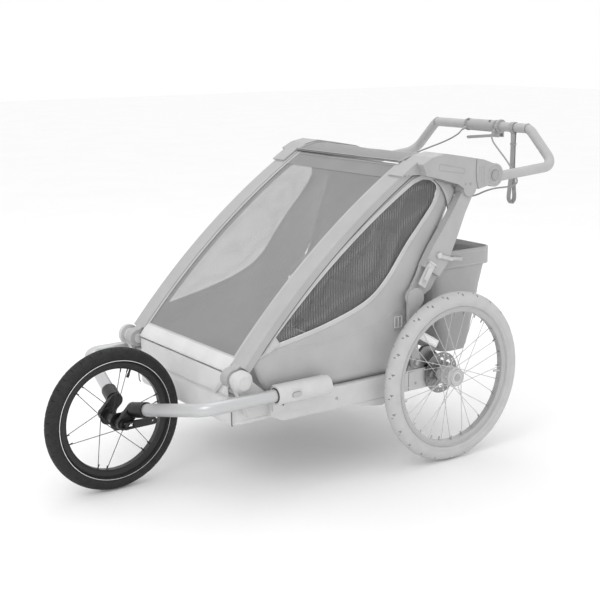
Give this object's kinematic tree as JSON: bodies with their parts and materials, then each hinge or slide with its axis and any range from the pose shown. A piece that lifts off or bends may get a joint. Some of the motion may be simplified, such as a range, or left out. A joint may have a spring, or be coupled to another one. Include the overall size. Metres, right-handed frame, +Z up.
{
  "type": "child bicycle trailer",
  "caption": "Child bicycle trailer with a folding fabric cabin, spoked wheels with brake rotors, a tilting push handlebar, a rear cargo bag and a clip-on front jogging wheel.",
  "frame": {"origin": "middle of the bounding box's underside, on the ground", "axes": "+X points backwards and the front wheel is at -X, -Y is the trailer's left side with the quick-release lever, +Z is up"},
  "size_m": [1.58, 0.795, 0.953],
  "materials": {
    "frame_metal": "satin, powder coated",
    "fork_metal": "brushed and clear coated",
    "pale_plastic": "fine moulded grain",
    "housing_plastic": "fine moulded grain",
    "black_plastic": "moulded, slightly glossy",
    "body_fabric": "woven, coated",
    "lower_fabric": "heavy woven, coated",
    "mesh_fabric": "open mesh",
    "roof_fabric": "woven",
    "seat_fabric": "padded, woven",
    "bag_fabric": "woven, coated",
    "webbing": "flat webbing",
    "front_tyre_rubber": "matt, file tread",
    "rear_tyre_rubber": "matt, sipes",
    "front_rim_metal": "black anodised",
    "rear_rim_metal": "satin",
    "hub_metal": "satin",
    "black_metal": "black anodised",
    "spoke_steel": "drawn",
    "black_spoke_steel": "black",
    "rotor_steel": "ground",
    "bracket_metal": "satin",
    "cable_housing": "smooth"
  },
  "bodies": {
    "chassis": {"side_beam_left": "frame_metal", "side_beam_right": "frame_metal", "front_crossbar": "frame_metal", "axle_tube": "frame_metal", "front_pivot_left": "pale_plastic", "front_pivot_right": "pale_plastic", "arm_receiver_left": "pale_plastic", "arm_receiver_right": "pale_plastic", "footwell": "lower_fabric", "seat_cushion": "seat_fabric", "backrest": "seat_fabric", "axle_brackets": "bracket_metal", "brake_calipers": "bracket_metal", "fork_arm_left": "fork_metal", "fork_arm_right": "fork_metal", "fork_end_left": "black_metal", "fork_end_right": "black_metal", "front_axle": "black_metal", "side_panel_left": "body_fabric", "side_panel_right": "body_fabric", "cargo_bag": "bag_fabric"},
    "upper_frame": {"side_arch_left": "body_fabric", "side_arch_right": "body_fabric", "top_housing_left": "housing_plastic", "top_housing_right": "housing_plastic", "roof_crossbar": "frame_metal", "roof_cover": "roof_fabric", "front_cover": "mesh_fabric"},
    "rear_posts": {"rear_post_left": "frame_metal", "rear_post_right": "frame_metal"},
    "lower_struts": {"lower_struts": "frame_metal"},
    "handlebar": {"handlebar": "frame_metal", "brake_lever_mount": "housing_plastic", "brake_cable_left": "cable_housing", "brake_cable_right": "cable_housing"},
    "brake_lever": {"brake_lever": "bracket_metal"},
    "wrist_strap": {"wrist_strap": "webbing"},
    "front_wheel": {"front_tyre": "front_tyre_rubber", "front_rim": "front_rim_metal", "front_hub": "black_metal", "front_spokes": "black_spoke_steel"},
    "quick_release_lever": {"quick_release_lever": "black_metal"},
    "rear_wheel_left": {"rear_tyre_left": "rear_tyre_rubber", "rear_rim_left": "rear_rim_metal", "rear_hub_left": "hub_metal", "rear_spokes_left": "spoke_steel", "brake_rotor_left": "rotor_steel"},
    "hub_button_left": {"hub_button_left": "housing_plastic"},
    "receiver_button_left": {"receiver_button_left": "fork_metal"},
    "handlebar_button_left": {"handlebar_button_left": "housing_plastic"},
    "fold_latch_left": {"fold_latch_left": "pale_plastic"},
    "rear_wheel_right": {"rear_tyre_right": "rear_tyre_rubber", "rear_rim_right": "rear_rim_metal", "rear_hub_right": "hub_metal", "rear_spokes_right": "spoke_steel", "brake_rotor_right": "rotor_steel"},
    "hub_button_right": {"hub_button_right": "housing_plastic"},
    "receiver_button_right": {"receiver_button_right": "fork_metal"},
    "handlebar_button_right": {"handlebar_button_right": "housing_plastic"},
    "fold_latch_right": {"fold_latch_right": "pale_plastic"}
  },
  "joints": [
    {"name": "frame_fold", "type": "hinge", "parent": "chassis", "child": "upper_frame", "pos_m": [-0.374, 0, 0.341], "axis": [0, 1, 0], "range_deg": [0, 28], "deforming": ["side_panel_left", "side_panel_right", "backrest", "cargo_bag"]},
    {"name": "post_fold", "type": "hinge", "parent": "upper_frame", "child": "rear_posts", "pos_m": [0.398, 0, 0.787], "axis": [0, 1, 0], "range_deg": [0, 49]},
    {"name": "strut_fold", "type": "hinge", "parent": "chassis", "child": "lower_struts", "pos_m": [0.213, 0, 0.297], "axis": [0, 1, 0], "range_deg": [-8, 0]},
    {"name": "handlebar_tilt", "type": "hinge", "parent": "upper_frame", "child": "handlebar", "pos_m": [0.495, 0, 0.818], "axis": [0, 1, 0], "range_deg": [-64, 50], "deforming": ["brake_cable_left", "brake_cable_right"]},
    {"name": "brake_lever_squeeze", "type": "hinge", "parent": "handlebar", "child": "brake_lever", "pos_m": [0.768, -0.076, 0.904], "axis": [1, 0, 0], "range_deg": [0, 6], "stiffness_Nm_per_rad": 2, "springref_deg": -11.46},
    {"name": "strap_swing", "type": "hinge", "parent": "handlebar", "child": "wrist_strap", "pos_m": [0.768, 0, 0.931], "axis": [0, -1, 0], "range_deg": [-30, 30]},
    {"name": "front_wheel_spin", "type": "hinge", "parent": "chassis", "child": "front_wheel", "pos_m": [-0.59, 0, 0.2], "axis": [0, 1, 0], "continuous": true},
    {"name": "quick_release_lever_open", "type": "hinge", "parent": "chassis", "child": "quick_release_lever", "pos_m": [-0.59, -0.076, 0.2], "axis": [0, 0, -1], "range_deg": [0, 120]},
    {"name": "rear_wheel_left_spin", "type": "hinge", "parent": "chassis", "child": "rear_wheel_left", "pos_m": [0.313, -0.374, 0.25], "axis": [0, 1, 0], "continuous": true},
    {"name": "hub_button_left_press", "type": "slide", "parent": "rear_wheel_left", "child": "hub_button_left", "axis": [0, 1, 0], "range_m": [0, 0.003], "stiffness_N_per_m": 800, "springref_m": -0.002},
    {"name": "receiver_button_left_press", "type": "slide", "parent": "chassis", "child": "receiver_button_left", "axis": [0, 1, 0], "range_m": [0, 0.003], "stiffness_N_per_m": 800, "springref_m": -0.002},
    {"name": "handlebar_button_left_press", "type": "slide", "parent": "upper_frame", "child": "handlebar_button_left", "axis": [0, 1, 0], "range_m": [0, 0.003], "stiffness_N_per_m": 800, "springref_m": -0.002},
    {"name": "fold_latch_left_lift", "type": "hinge", "parent": "rear_posts", "child": "fold_latch_left", "pos_m": [0.261, -0.3371, 0.583], "axis": [-0.8437, 0, 0.5369], "range_deg": [0, 7], "stiffness_Nm_per_rad": 0.5, "springref_deg": -11.46},
    {"name": "rear_wheel_right_spin", "type": "hinge", "parent": "chassis", "child": "rear_wheel_right", "pos_m": [0.313, 0.374, 0.25], "axis": [0, 1, 0], "continuous": true},
    {"name": "hub_button_right_press", "type": "slide", "parent": "rear_wheel_right", "child": "hub_button_right", "axis": [0, -1, 0], "range_m": [0, 0.003], "stiffness_N_per_m": 800, "springref_m": -0.002},
    {"name": "receiver_button_right_press", "type": "slide", "parent": "chassis", "child": "receiver_button_right", "axis": [0, -1, 0], "range_m": [0, 0.003], "stiffness_N_per_m": 800, "springref_m": -0.002},
    {"name": "handlebar_button_right_press", "type": "slide", "parent": "upper_frame", "child": "handlebar_button_right", "axis": [0, -1, 0], "range_m": [0, 0.003], "stiffness_N_per_m": 800, "springref_m": -0.002},
    {"name": "fold_latch_right_lift", "type": "hinge", "parent": "rear_posts", "child": "fold_latch_right", "pos_m": [0.261, 0.3371, 0.583], "axis": [0.8437, 0, -0.5369], "range_deg": [0, 7], "stiffness_Nm_per_rad": 0.5, "springref_deg": -11.46}
  ],
  "couplings": [
    {"joint": "post_fold", "follows": "frame_fold", "ratio": 1.739},
    {"joint": "strut_fold", "follows": "frame_fold", "ratio": -0.261}
  ]
}
